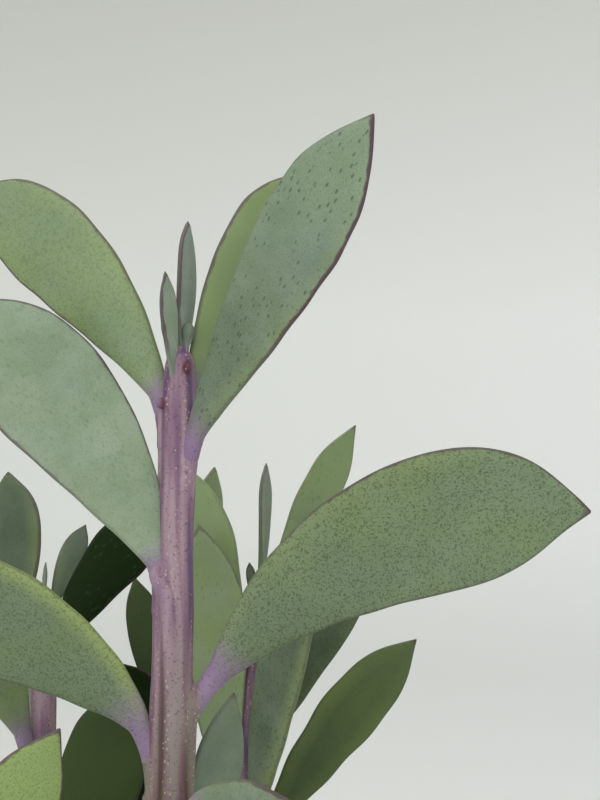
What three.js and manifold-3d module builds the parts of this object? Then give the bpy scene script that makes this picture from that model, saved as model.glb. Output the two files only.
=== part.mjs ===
// A potted vertical leaf senecio: a clay pot of soil with six leafy shoots. Millimetres, +Z up, with the origin at
// the middle of the pot's base. A leaf's blade stands on edge, in the upright plane that holds its own midline.
import * as THREE from "three";
import { LoftGeometry } from "three/addons/geometries/LoftGeometry.js";
import { mergeVertices } from "three/addons/utils/BufferGeometryUtils.js";
import Module from "manifold-3d";

// Pot.
const potHeight = 112;
const potBaseRadius = 42;
const potNeckRadius = 57;
const potRimRadius = 63;
const potRimDepth = 24;
const potMouthRadius = 58;
const potCavityRadius = 37;
const potFloor = 7;
const potSides = 48;
const edgeRounding = 1.6;
const drainHoles = 4;
const drainHoleRadius = 4.5;
const drainCircleRadius = 20;
const drainHoleSides = 12;

// Soil, and how deep the stems stand in it.
const soilTop = 101;
const soilMound = 3;
const soilShoulder = 0.6;
const stemDepth = 46;

// Stems, leaves and the gap that keeps two touching pieces apart.
const seatGap = 0.3;
const stemSides = 10;
const stemTipDome = 4;
const petioleHeight = 3.8;
const petioleThickness = 2.9;
const fullStalkLeafWidth = 16;
const stalkBendStart = 0.4;
const stalkBendSpan = 1.1;
const bladeThickness = 3;
const leafTipSize = 0.6;
const goldenTurn = 137.5;
const budLengths = [11, 8];
const budWidth = 2.6;
const budStalk = 3;
const budDrop = 5;
const budStep = 1.2;

// Half a blade's width along it, as a share of the widest: [share of the blade's length, share of the width].
const bladeOutline = [
  [0, 0.2], [0.12, 0.41], [0.26, 0.65], [0.4, 0.83], [0.54, 0.96], [0.67, 1],
  [0.79, 0.88], [0.88, 0.62], [0.95, 0.28], [1, 0.02],
];
// A leaf's section: [share of the half width, share of the half thickness], once round.
const leafSection = [
  [1, 0], [0.62, 0.78], [0, 1], [-0.62, 0.78], [-1, 0], [-0.62, -0.78], [0, -1], [0.62, -0.78],
];

// Shoots, from the soil [x, y] to the growing tip [x, y, z], with the stem's radius at both ends and the compass
// direction of the first bud (0 is +X, 90 is +Y). A leaf has its height on the stem (at), compass direction (turn),
// length with its stalk, and width. Its angles are from level: its stalk's (rise) and its blade's mean (lean), and
// curl is how far the blade bends down along its length.
const shoots = [
  {
    name: "main",
    foot: [-2, 0],
    tip: [2.4, 0, 297],
    radius: [6.4, 2.6],
    budTurn: 195,
    leaves: [
      { at: 229, turn: -4, length: 87, width: 25, stalk: 12, lean: 28.5, curl: 71, rise: 58 },
      { at: 249, turn: 200, length: 68, width: 22, stalk: 9, lean: 54, curl: 36, rise: 86 },
      { at: 213, turn: 188, length: 78, width: 21, stalk: 16, lean: 31, curl: 62, rise: 88 },
      { at: 279, turn: 168, length: 63, width: 17.5, stalk: 9, lean: 49.5, curl: 38, rise: 82 },
      { at: 270, turn: -38, length: 76.5, width: 18, stalk: 11, lean: 54, curl: 10, rise: 78 },
      { at: 280, turn: 28, length: 56, width: 14.5, stalk: 9, lean: 62, curl: 18, rise: 84 },
      { at: 286, turn: 75, length: 34, width: 9, stalk: 6, lean: 83, curl: 4, rise: 88 },
      { at: 286, turn: 246, length: 24, width: 5.5, stalk: 4, lean: 81, curl: 2, rise: 84 },
      { at: 203.5, turn: -55, length: 64, width: 22, stalk: 13, lean: -10, curl: 74, rise: 74 },
      { at: 180, turn: 40, length: 54, width: 11.5, stalk: 11, lean: 76, curl: 10, rise: 80 },
      { at: 178, turn: 232, length: 66, width: 21, stalk: 15, lean: 14, curl: 44, rise: 68 },
      { at: 167, turn: 20, length: 70, width: 21, stalk: 15, lean: 18, curl: 44, rise: 68 },
      { at: 156, turn: 160, length: 66, width: 20, stalk: 14, lean: 14, curl: 44, rise: 66 },
      { at: 145, turn: 292, length: 66, width: 20, stalk: 14, lean: 8, curl: 44, rise: 64 },
    ],
  },
  {
    name: "right_back",
    foot: [6, 29],
    tip: [15.5, 42, 247],
    radius: [4.4, 2.2],
    budTurn: 150,
    leaves: [
      { at: 241, turn: 75, length: 33, width: 7, stalk: 6, lean: 80, curl: 4, rise: 82 },
      { at: 231, turn: 14, length: 55, width: 9, stalk: 9, lean: 67, curl: 16, rise: 80 },
      { at: 216, turn: 160, length: 62, width: 17, stalk: 11, lean: 73, curl: 18, rise: 80 },
      { at: 204, turn: 26, length: 59, width: 16, stalk: 12, lean: 61, curl: 22, rise: 80 },
      { at: 189, turn: -43, length: 71, width: 13.5, stalk: 12, lean: 75.5, curl: 10, rise: 80 },
      { at: 182, turn: 100, length: 64, width: 18, stalk: 12, lean: 42, curl: 36, rise: 76 },
      { at: 184, turn: 4, length: 65, width: 12.5, stalk: 13, lean: 54, curl: 20, rise: 78 },
      { at: 158, turn: 60, length: 64, width: 18, stalk: 13, lean: 24, curl: 40, rise: 70 },
      { at: 146, turn: 330, length: 60, width: 17, stalk: 12, lean: 14, curl: 42, rise: 68 },
      { at: 195, turn: 195, length: 67, width: 14.5, stalk: 12, lean: 85, curl: 8, rise: 80 },
    ],
  },
  {
    name: "left_back",
    foot: [-27, 30],
    tip: [-30.5, 45, 247],
    radius: [4.4, 2.2],
    budTurn: 300,
    leaves: [
      { at: 238, turn: 20, length: 24, width: 5.5, stalk: 5, lean: 69, curl: 10, rise: 80 },
      { at: 229, turn: 150, length: 44, width: 15, stalk: 12, lean: 86, curl: 4, rise: 62 },
      { at: 226.5, turn: -8, length: 46, width: 12.5, stalk: 9, lean: 55, curl: 36, rise: 80 },
      { at: 206, turn: 205, length: 62, width: 17, stalk: 12, lean: 62, curl: 26, rise: 80 },
      { at: 194, turn: 110, length: 64, width: 18, stalk: 12, lean: 44, curl: 34, rise: 76 },
      { at: 182, turn: 178, length: 66, width: 18, stalk: 12, lean: 34, curl: 38, rise: 74 },
      { at: 166, turn: -15, length: 66, width: 18, stalk: 13, lean: 75, curl: 12, rise: 80 },
      { at: 157, turn: 192, length: 60, width: 17, stalk: 12, lean: 16, curl: 42, rise: 70 },
    ],
  },
  {
    name: "far_back",
    foot: [-1, 40],
    tip: [-3.5, 62, 240],
    radius: [4.4, 2.2],
    budTurn: 5,
    leaves: [
      { at: 227, turn: 262, length: 30, width: 8, stalk: 6, lean: 74, curl: 8, rise: 80 },
      { at: 224, turn: 62, length: 50, width: 12.5, stalk: 11, lean: 77, curl: 12, rise: 62 },
      { at: 205, turn: 178, length: 44, width: 8.5, stalk: 9, lean: 79, curl: 6, rise: 84 },
      { at: 197, turn: 84, length: 64, width: 18, stalk: 12, lean: 40, curl: 34, rise: 76 },
      { at: 184, turn: 215, length: 50, width: 17, stalk: 12, lean: 74, curl: 16, rise: 80 },
      { at: 171, turn: 108, length: 64, width: 18, stalk: 13, lean: 22, curl: 40, rise: 70 },
    ],
  },
  {
    name: "front_left",
    foot: [-30, -24],
    tip: [-42, -38, 192],
    radius: [4.2, 2.2],
    budTurn: 300,
    leaves: [
      { at: 183, turn: 200, length: 28, width: 7, stalk: 6, lean: 68, curl: 10, rise: 78 },
      { at: 177.5, turn: 30, length: 62, width: 15, stalk: 11, lean: 62, curl: 12, rise: 80 },
      { at: 168, turn: 290, length: 50, width: 15, stalk: 10, lean: 46, curl: 30, rise: 78 },
      { at: 158, turn: 165, length: 56, width: 16, stalk: 11, lean: 38, curl: 36, rise: 76 },
      { at: 147, turn: 240, length: 60, width: 17, stalk: 12, lean: 26, curl: 40, rise: 72 },
      { at: 136, turn: 190, length: 60, width: 17, stalk: 12, lean: 14, curl: 42, rise: 68 },
      { at: 125, turn: 335, length: 52, width: 16, stalk: 11, lean: 12, curl: 40, rise: 66 },
    ],
  },
  {
    name: "front_right",
    foot: [28, -22],
    tip: [40, -36, 172],
    radius: [4.2, 2.2],
    budTurn: 80,
    leaves: [
      { at: 163, turn: 320, length: 28, width: 7, stalk: 6, lean: 68, curl: 10, rise: 78 },
      { at: 156, turn: 90, length: 44, width: 14, stalk: 9, lean: 56, curl: 24, rise: 78 },
      { at: 150, turn: 240, length: 50, width: 15, stalk: 10, lean: 44, curl: 30, rise: 76 },
      { at: 142, turn: 0, length: 56, width: 16, stalk: 11, lean: 34, curl: 36, rise: 76 },
      { at: 133, turn: 300, length: 58, width: 17, stalk: 12, lean: 22, curl: 40, rise: 72 },
      { at: 124, turn: 30, length: 58, width: 17, stalk: 12, lean: 10, curl: 42, rise: 66 },
      { at: 114, turn: 168, length: 50, width: 16, stalk: 11, lean: 6, curl: 36, rise: 64 },
    ],
  },
];

const degrees = Math.PI / 180;
const wasm = await Module();
wasm.setup();

// Geometry to solid and back, with only positions kept.
function solidOf(geometry) {
  const bare = new THREE.BufferGeometry().setAttribute("position", geometry.attributes.position);
  bare.setIndex(geometry.index);
  const merged = mergeVertices(bare, 1e-4);
  const triVerts = new Uint32Array(merged.index.array);
  const vertProperties = merged.attributes.position.array;
  return new wasm.Manifold(new wasm.Mesh({ numProp: 3, vertProperties, triVerts }));
}

function geometryOf(solid) {
  const mesh = solid.getMesh();
  const positions = new THREE.BufferAttribute(new Float32Array(mesh.vertProperties), 3);
  const geometry = new THREE.BufferGeometry().setAttribute("position", positions);
  geometry.setIndex(new THREE.BufferAttribute(new Uint32Array(mesh.triVerts), 1));
  geometry.computeVertexNormals();
  return geometry;
}

function largestBody(solid) {
  return solid.decompose().sort((a, b) => b.volume() - a.volume())[0];
}

function compass(turn) {
  return new THREE.Vector3(Math.cos(turn * degrees), Math.sin(turn * degrees), 0);
}

function smoothStep(share) {
  const s = Math.min(1, Math.max(0, share));
  return s * s * (3 - 2 * s);
}

// A stem's middle and radius at a height.
function stemAt(shoot, z) {
  const share = Math.max(0, (z - soilTop) / (shoot.tip[2] - soilTop));
  const x = THREE.MathUtils.lerp(shoot.foot[0], shoot.tip[0], share);
  const y = THREE.MathUtils.lerp(shoot.foot[1], shoot.tip[1], share);
  const radius = THREE.MathUtils.lerp(shoot.radius[0], shoot.radius[1], share);
  return { middle: new THREE.Vector3(x, y, z), radius };
}

function ringOf({ middle, radius }) {
  const points = [];
  for (let i = 0; i < stemSides; i++) {
    const angle = (2 * Math.PI * i) / stemSides;
    points.push(new THREE.Vector3(radius * Math.cos(angle), radius * Math.sin(angle), 0).add(middle));
  }
  return points;
}

function stemSolid(shoot, extra) {
  const dome = shoot.tip[2] - stemTipDome + extra;
  const rings = [soilTop - stemDepth, soilTop, dome].map((z) => stemAt(shoot, z));
  for (const [rise, size] of [[0.5, 0.85], [0.85, 0.5], [1, 0.15]]) {
    const ring = stemAt(shoot, dome + rise * stemTipDome);
    ring.radius *= size;
    rings.push(ring);
  }
  const sections = rings.map(({ middle, radius }) => ringOf({ middle, radius: radius + extra }));
  return solidOf(new LoftGeometry(sections, { capStart: true, capEnd: true }));
}

// A leaf's frame at a distance along it: ahead, up across the blade, and sideways out of its face.
function leafHeading(leaf, distance) {
  const share = distance / leaf.length;
  const blade = leaf.lean + leaf.curl * (0.5 - share);
  const bend = 1 - smoothStep((distance / leaf.stalk - stalkBendStart) / stalkBendSpan);
  const hook = (leaf.rise - leaf.lean - leaf.curl / 2) * bend;
  const pitch = (blade + hook) * degrees;
  const out = compass(leaf.turn);
  const ahead = out.clone().multiplyScalar(Math.cos(pitch)).setZ(Math.sin(pitch));
  const up = out.clone().multiplyScalar(-Math.sin(pitch)).setZ(Math.cos(pitch));
  return { ahead, up, side: ahead.clone().cross(up) };
}

// Points and frames along a leaf's midline, from a start inside the stem.
function midline(leaf, start, distances) {
  const stations = [];
  const point = start.clone();
  const step = 0.5;
  let along = 0;
  for (const distance of distances) {
    while (along < distance - 1e-9) {
      const pace = Math.min(step, distance - along);
      point.addScaledVector(leafHeading(leaf, along + pace / 2).ahead, pace);
      along += pace;
    }
    stations.push({ point: point.clone(), ...leafHeading(leaf, distance) });
  }
  return stations;
}

function leafSolid(leaf, shoot) {
  const petiole = Math.min(1, leaf.width / fullStalkLeafWidth);
  const rings = [0, 0.5].map((share) => ({
    distance: share * leaf.stalk,
    half: (petiole * petioleHeight) / 2,
    thickness: (petiole * petioleThickness) / 2,
  }));
  for (const [share, width] of bladeOutline) {
    const full = THREE.MathUtils.lerp(bladeThickness, bladeThickness / 2, share) / 2;
    rings.push({
      distance: leaf.stalk + share * (leaf.length - leaf.stalk),
      half: Math.max((width * leaf.width) / 2, leafTipSize / 2),
      thickness: Math.max(full * petiole * Math.min(1, width * 4), leafTipSize / 2),
    });
  }
  const { middle, radius } = stemAt(shoot, leaf.at);
  const start = middle.addScaledVector(compass(leaf.turn), radius / 2);
  const stations = midline(leaf, start, rings.map((ring) => ring.distance));
  const sections = stations.map(({ point, up, side }, i) => leafSection.map(([across, out]) => {
    const rim = point.clone().addScaledVector(up, across * rings[i].half);
    return rim.addScaledVector(side, out * rings[i].thickness);
  }));
  return solidOf(new LoftGeometry(sections, { capStart: true, capEnd: true }));
}

// The unopened leaves round a growing tip, which are one body with the stem.
function budSolids(shoot) {
  return budLengths.map((length, i) => {
    const at = shoot.tip[2] - budDrop + budStep * i;
    const turn = shoot.budTurn + i * goldenTurn;
    return leafSolid({ at, turn, length, width: budWidth, stalk: budStalk, lean: 84, curl: 0, rise: 88 }, shoot);
  });
}

function latheSolid(profile, sides) {
  const points = profile.map(([r, z]) => new THREE.Vector2(r, z));
  const geometry = new THREE.LatheGeometry(points, sides);
  geometry.rotateX(Math.PI / 2);
  return solidOf(geometry);
}

function potSolid() {
  const step = potHeight - potRimDepth;
  const brim = potHeight - edgeRounding;
  const profile = [
    [0, 0], [potBaseRadius - edgeRounding, 0], [potBaseRadius, edgeRounding],
    [potNeckRadius, step - edgeRounding], [potRimRadius - edgeRounding, step],
    [potRimRadius, step + edgeRounding], [potRimRadius, brim], [potRimRadius - edgeRounding, potHeight],
    [potMouthRadius + edgeRounding, potHeight], [potMouthRadius, brim], [potCavityRadius, potFloor],
    [0, potFloor],
  ];
  let pot = latheSolid(profile, potSides);
  for (let i = 0; i < drainHoles; i++) {
    const angle = (2 * Math.PI * (i + 0.5)) / drainHoles;
    const hole = new THREE.CylinderGeometry(drainHoleRadius, drainHoleRadius, 3 * potFloor, drainHoleSides);
    hole.rotateX(Math.PI / 2);
    hole.translate(drainCircleRadius * Math.cos(angle), drainCircleRadius * Math.sin(angle), potFloor / 2);
    pot = pot.subtract(solidOf(hole));
  }
  return pot;
}

// The pot's inner radius at a height.
function cavityRadius(z) {
  const share = (z - potFloor) / (potHeight - edgeRounding - potFloor);
  return THREE.MathUtils.lerp(potCavityRadius, potMouthRadius, share);
}

function soilSolid() {
  const floor = potFloor + seatGap;
  const edge = soilTop - soilMound;
  const edgeRadius = cavityRadius(edge) - seatGap;
  const profile = [
    [0, floor], [cavityRadius(floor) - seatGap, floor], [edgeRadius, edge],
    [soilShoulder * edgeRadius, soilTop - (1 - soilShoulder) * soilMound], [0, soilTop],
  ];
  let soil = latheSolid(profile, potSides);
  for (const shoot of shoots) {
    soil = soil.subtract(stemSolid(shoot, seatGap));
  }
  return soil;
}

const terracotta = new THREE.MeshStandardMaterial({ color: 0xb0694a, roughness: 0.9, metalness: 0 });
const pottingMix = new THREE.MeshStandardMaterial({ color: 0x4a3b30, roughness: 1, metalness: 0 });
const stemSkin = new THREE.MeshStandardMaterial({ color: 0x957e86, roughness: 0.6, metalness: 0 });
const leafSkin = new THREE.MeshStandardMaterial({ color: 0x7f9170, roughness: 0.6, metalness: 0 });

const plant = new THREE.Group();

function addPiece(name, solid, material) {
  const mesh = new THREE.Mesh(geometryOf(solid), material);
  mesh.name = name;
  plant.add(mesh);
}

addPiece("pot", potSolid(), terracotta);
addPiece("soil", soilSolid(), pottingMix);
for (const shoot of shoots) {
  let stem = stemSolid(shoot, 0);
  for (const bud of budSolids(shoot)) {
    stem = stem.add(bud);
  }
  addPiece("stem_" + shoot.name, stem, stemSkin);
  const clearance = stemSolid(shoot, seatGap);
  shoot.leaves.forEach((leaf, i) => {
    const name = "leaf_" + shoot.name + "_" + (i + 1);
    addPiece(name, largestBody(leafSolid(leaf, shoot).subtract(clearance)), leafSkin);
  });
}

export default plant;
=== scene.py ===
import math
import bpy
import numpy as np
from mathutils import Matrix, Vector


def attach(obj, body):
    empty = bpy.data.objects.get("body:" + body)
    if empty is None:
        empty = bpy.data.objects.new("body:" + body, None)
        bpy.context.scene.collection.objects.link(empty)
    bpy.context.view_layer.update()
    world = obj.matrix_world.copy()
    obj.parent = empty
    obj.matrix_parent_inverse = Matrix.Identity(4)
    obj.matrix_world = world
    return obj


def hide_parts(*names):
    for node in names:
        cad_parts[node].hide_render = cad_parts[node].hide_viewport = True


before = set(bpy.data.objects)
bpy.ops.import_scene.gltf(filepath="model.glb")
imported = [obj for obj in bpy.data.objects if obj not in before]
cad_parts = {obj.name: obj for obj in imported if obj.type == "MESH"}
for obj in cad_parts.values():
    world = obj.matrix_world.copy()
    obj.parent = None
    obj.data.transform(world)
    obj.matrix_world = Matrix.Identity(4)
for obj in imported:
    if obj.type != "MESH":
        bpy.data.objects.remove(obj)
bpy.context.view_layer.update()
mm = 0.001
rng = np.random.default_rng(11)


# Camera: level, a little above the leaves' middle, as in the photograph.
view = {"place": (0.024, -0.260, 0.287), "lens": 65, "sensor": 36}
bpy.ops.object.camera_add(location=view["place"], rotation=(math.radians(90), 0, 0))
camera = bpy.context.object
camera.data.lens = view["lens"]
camera.data.sensor_width = view["sensor"]
camera.data.clip_start = 0.01
bpy.context.scene.camera = camera
bpy.context.scene.view_settings.view_transform = "Standard"
print("camera set")


# Small helpers for picking, finishing and mesh data.
def deselectAll():
    if bpy.context.mode != "OBJECT":
        bpy.ops.object.mode_set(mode="OBJECT")
    bpy.ops.object.select_all(action="DESELECT")


def pick(piece):
    deselectAll()
    piece.select_set(True)
    bpy.context.view_layer.objects.active = piece


def applyModifier(piece, kind, **settings):
    pick(piece)
    modifier = piece.modifiers.new(kind.title(), kind)
    for name, value in settings.items():
        setattr(modifier, name, value)
    bpy.ops.object.modifier_apply(modifier=modifier.name)


def joinPieces(pieces, name):
    deselectAll()
    for piece in pieces:
        piece.select_set(True)
    bpy.context.view_layer.objects.active = pieces[0]
    bpy.ops.object.join()
    joined = bpy.context.object
    joined.name = name
    return joined


def copyOf(piece, name):
    twin = piece.copy()
    twin.data = piece.data.copy()
    twin.name = name
    bpy.context.scene.collection.objects.link(twin)
    return twin


def pointsOf(piece):
    points = np.empty(len(piece.data.vertices) * 3)
    piece.data.vertices.foreach_get("co", points)
    return points.reshape(-1, 3)


def movePoints(piece, points):
    piece.data.vertices.foreach_set("co", np.asarray(points, dtype=float).ravel())
    piece.data.update()


def addValue(piece, name, values):
    made = piece.data.attributes.new(name, "FLOAT", "POINT")
    made.data.foreach_set("value", np.asarray(values, dtype=float))


def addVector(piece, name, values):
    made = piece.data.attributes.new(name, "FLOAT_VECTOR", "POINT")
    made.data.foreach_set("vector", np.asarray(values, dtype=float).ravel())


def smoothStep(values):
    share = np.clip(values, 0, 1)
    return share * share * (3 - 2 * share)


def smoothCurve(marks, at):
    # an even curve through a few marked points
    xs, ys = np.array(marks, dtype=float).T
    slopes = np.gradient(ys, xs)
    i = np.clip(np.searchsorted(xs, at, side="right") - 1, 0, len(xs) - 2)
    span = xs[i + 1] - xs[i]
    t = np.clip((at - xs[i]) / span, 0, 1)
    start = ys[i] * (2 * t**3 - 3 * t**2 + 1) + slopes[i] * span * (t**3 - 2 * t**2 + t)
    return start + ys[i + 1] * (3 * t**2 - 2 * t**3) + slopes[i + 1] * span * (t**3 - t**2)


def ripple(points, size, amount, seed):
    # soft unevenness of one size, in the same units as the points
    draw = np.random.default_rng(seed)
    total = np.zeros(len(points))
    for _ in range(6):
        direction = draw.normal(size=3)
        direction *= 2 * math.pi / (size * np.linalg.norm(direction)) * draw.uniform(0.7, 1.4)
        total += np.sin(points @ direction + draw.uniform(0, 2 * math.pi))
    return amount * total / 3


# Colours are written as sRGB hex and used as linear.
def linear(hexColour):
    parts = [int(hexColour[i:i + 2], 16) / 255 for i in (1, 3, 5)]
    parts = [p / 12.92 if p <= 0.04045 else ((p + 0.055) / 1.055) ** 2.4 for p in parts]
    return (*parts, 1)


def addNode(tree, kind, settings=None, links=None):
    node = tree.nodes.new("ShaderNode" + kind)
    for key, value in (settings or {}).items():
        if isinstance(key, int) or key in node.inputs:
            node.inputs[key].default_value = value
        else:
            setattr(node, key, value)
    for key, source in (links or {}).items():
        tree.links.new(source, node.inputs[key])
    return node


def newMaterial(name, roughness, ior):
    material = bpy.data.materials.new(name)
    material.use_nodes = True
    tree = material.node_tree
    surface = tree.nodes["Principled BSDF"]
    surface.inputs["Roughness"].default_value = roughness
    surface.inputs["IOR"].default_value = ior
    return material, tree, surface


# Shoots, in millimetres and degrees, as the solids have them. A leaf is its height on the stem, compass turn,
# length with its stalk, width, stalk, lean and curl of its blade, and rise of its stalk.
shoots = {
    "main": {
        "foot": (-2, 0), "tip": (2.4, 0, 297), "radius": (6.4, 2.6), "budTurn": 195, "leaves": [
            (229, -4, 87, 25, 12, 28.5, 71, 58),
            (249, 200, 68, 22, 9, 54, 36, 86),
            (213, 188, 78, 21, 16, 31, 62, 88),
            (279, 168, 63, 17.5, 9, 49.5, 38, 82),
            (270, -38, 76.5, 18, 11, 54, 10, 78),
            (280, 28, 56, 14.5, 9, 62, 18, 84),
            (286, 75, 34, 9, 6, 83, 4, 88),
            (286, 246, 24, 5.5, 4, 81, 2, 84),
            (203.5, -55, 64, 22, 13, -10, 74, 74),
            (180, 40, 54, 11.5, 11, 76, 10, 80),
            (178, 232, 66, 21, 15, 14, 44, 68),
            (167, 20, 70, 21, 15, 18, 44, 68),
            (156, 160, 66, 20, 14, 14, 44, 66),
            (145, 292, 66, 20, 14, 8, 44, 64)]},
    "right_back": {
        "foot": (6, 29), "tip": (15.5, 42, 247), "radius": (4.4, 2.2), "budTurn": 150, "leaves": [
            (241, 75, 33, 7, 6, 80, 4, 82),
            (231, 14, 55, 9, 9, 67, 16, 80),
            (216, 160, 62, 17, 11, 73, 18, 80),
            (204, 26, 59, 16, 12, 61, 22, 80),
            (189, -43, 71, 13.5, 12, 75.5, 10, 80),
            (182, 100, 64, 18, 12, 42, 36, 76),
            (184, 4, 65, 12.5, 13, 54, 20, 78),
            (158, 60, 64, 18, 13, 24, 40, 70),
            (146, 330, 60, 17, 12, 14, 42, 68),
            (195, 195, 67, 14.5, 12, 85, 8, 80)]},
    "left_back": {
        "foot": (-27, 30), "tip": (-30.5, 45, 247), "radius": (4.4, 2.2), "budTurn": 300, "leaves": [
            (238, 20, 24, 5.5, 5, 69, 10, 80),
            (229, 150, 44, 15, 12, 86, 4, 62),
            (226.5, -8, 46, 12.5, 9, 55, 36, 80),
            (206, 205, 62, 17, 12, 62, 26, 80),
            (194, 110, 64, 18, 12, 44, 34, 76),
            (182, 178, 66, 18, 12, 34, 38, 74),
            (166, -15, 66, 18, 13, 75, 12, 80),
            (157, 192, 60, 17, 12, 16, 42, 70)]},
    "far_back": {
        "foot": (-1, 40), "tip": (-3.5, 62, 240), "radius": (4.4, 2.2), "budTurn": 5, "leaves": [
            (227, 262, 30, 8, 6, 74, 8, 80),
            (224, 62, 50, 12.5, 11, 77, 12, 62),
            (205, 178, 44, 8.5, 9, 79, 6, 84),
            (197, 84, 64, 18, 12, 40, 34, 76),
            (184, 215, 50, 17, 12, 74, 16, 80),
            (171, 108, 64, 18, 13, 22, 40, 70)]},
    "front_left": {
        "foot": (-30, -24), "tip": (-42, -38, 192), "radius": (4.2, 2.2), "budTurn": 300, "leaves": [
            (183, 200, 28, 7, 6, 68, 10, 78),
            (177.5, 30, 62, 15, 11, 62, 12, 80),
            (168, 290, 50, 15, 10, 46, 30, 78),
            (158, 165, 56, 16, 11, 38, 36, 76),
            (147, 240, 60, 17, 12, 26, 40, 72),
            (136, 190, 60, 17, 12, 14, 42, 68),
            (125, 335, 52, 16, 11, 12, 40, 66)]},
    "front_right": {
        "foot": (28, -22), "tip": (40, -36, 172), "radius": (4.2, 2.2), "budTurn": 80, "leaves": [
            (163, 320, 28, 7, 6, 68, 10, 78),
            (156, 90, 44, 14, 9, 56, 24, 78),
            (150, 240, 50, 15, 10, 44, 30, 76),
            (142, 0, 56, 16, 11, 34, 36, 76),
            (133, 300, 58, 17, 12, 22, 40, 72),
            (124, 30, 58, 17, 12, 10, 42, 66),
            (114, 168, 50, 16, 11, 6, 36, 64)]},
}
leafParts = ("at", "turn", "length", "width", "stalk", "lean", "curl", "rise")
soilTop = 101


def stemMiddle(shoot, z):
    share = np.maximum(0, (np.asarray(z, dtype=float) - soilTop) / (shoot["tip"][2] - soilTop))
    x = shoot["foot"][0] + (shoot["tip"][0] - shoot["foot"][0]) * share
    y = shoot["foot"][1] + (shoot["tip"][1] - shoot["foot"][1]) * share
    return np.stack([x, y, np.broadcast_to(z, x.shape)], axis=-1)


def stemRadius(shoot, z):
    share = np.clip((np.asarray(z, dtype=float) - soilTop) / (shoot["tip"][2] - soilTop), 0, 1)
    return shoot["radius"][0] + (shoot["radius"][1] - shoot["radius"][0]) * share


def compass(turn):
    return np.array([math.cos(math.radians(turn)), math.sin(math.radians(turn)), 0.0])


def midline(shoot, leaf):
    # the leaf's middle line from inside its stem to its tip, walked in short steps
    steps = max(20, int(leaf["length"] / 0.25))
    along = np.linspace(0, leaf["length"], steps + 1)
    bend = 1 - smoothStep((along / leaf["stalk"] - 0.4) / 1.1)
    hook = (leaf["rise"] - leaf["lean"] - leaf["curl"] / 2) * bend
    pitch = np.radians(leaf["lean"] + leaf["curl"] * (0.5 - along / leaf["length"]) + hook)
    out = compass(leaf["turn"])
    upright = np.array([0.0, 0.0, 1.0])
    ahead = out * np.cos(pitch)[:, None] + upright * np.sin(pitch)[:, None]
    up = -out * np.sin(pitch)[:, None] + upright * np.cos(pitch)[:, None]
    pace = (ahead[1:] + ahead[:-1]) / 2 * (leaf["length"] / steps)
    start = stemMiddle(shoot, leaf["at"]) + out * stemRadius(shoot, leaf["at"]) / 2
    points = start + np.vstack([np.zeros(3), np.cumsum(pace, axis=0)])
    return {"along": along, "points": points, "ahead": ahead, "up": up, "side": np.cross(ahead, up)}


def alongLine(line, name, at):
    return np.stack([np.interp(at, line["along"], line[name][:, i]) for i in range(3)], axis=-1)


# A blank is a closed tube of rings round the Z axis. Every leaf, stem and stalk is shaped from a copy of one.
def makeBlank(name, sides, rings):
    deselectAll()
    bpy.ops.mesh.primitive_cylinder_add(vertices=sides, radius=1, depth=1, end_fill_type="TRIFAN")
    blank = bpy.context.object
    blank.name = name
    bpy.ops.object.mode_set(mode="EDIT")
    bpy.ops.mesh.select_mode(type="EDGE")
    bpy.ops.mesh.select_all(action="DESELECT")
    bpy.ops.object.mode_set(mode="OBJECT")
    for edge in blank.data.edges:
        a, b = (blank.data.vertices[v].co for v in edge.vertices)
        edge.select = abs(a.z - b.z) > 0.5
    bpy.ops.object.mode_set(mode="EDIT")
    bpy.ops.mesh.subdivide(number_cuts=rings - 1)
    bpy.ops.object.mode_set(mode="OBJECT")
    return blank


def ringPlaces(piece, sides, rings):
    # which ring a point is on, which place round it, and whether it is an end's middle
    points = pointsOf(piece)
    ring = np.round((points[:, 2] + 0.5) * rings).astype(int)
    place = np.round(np.arctan2(points[:, 1], points[:, 0]) / (2 * math.pi) * sides).astype(int) % sides
    return ring, place, np.hypot(points[:, 0], points[:, 1]) < 0.01


# Leaves. A blade stands on edge. It is fleshy, nearly flat on both faces, with a narrow rounded margin.
leafMake = {"sides": 32, "rings": 84, "marginRound": 0.5, "stalkHeight": 3.8, "stalkThickness": 2.9,
            "fullWidth": 16, "thickness": 3.0, "hideUnder": 0.42, "prickle": 1.8, "sway": 0.7, "cup": 0.5,
            "twist": 5, "faceRipple": (16, 0.14), "marginRipple": (11, 0.16)}
bladeOutline = [(0, 0.2), (0.12, 0.41), (0.26, 0.65), (0.4, 0.83), (0.54, 0.96), (0.67, 1),
                (0.79, 0.88), (0.88, 0.62), (0.95, 0.28), (1, 0.02)]
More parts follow.
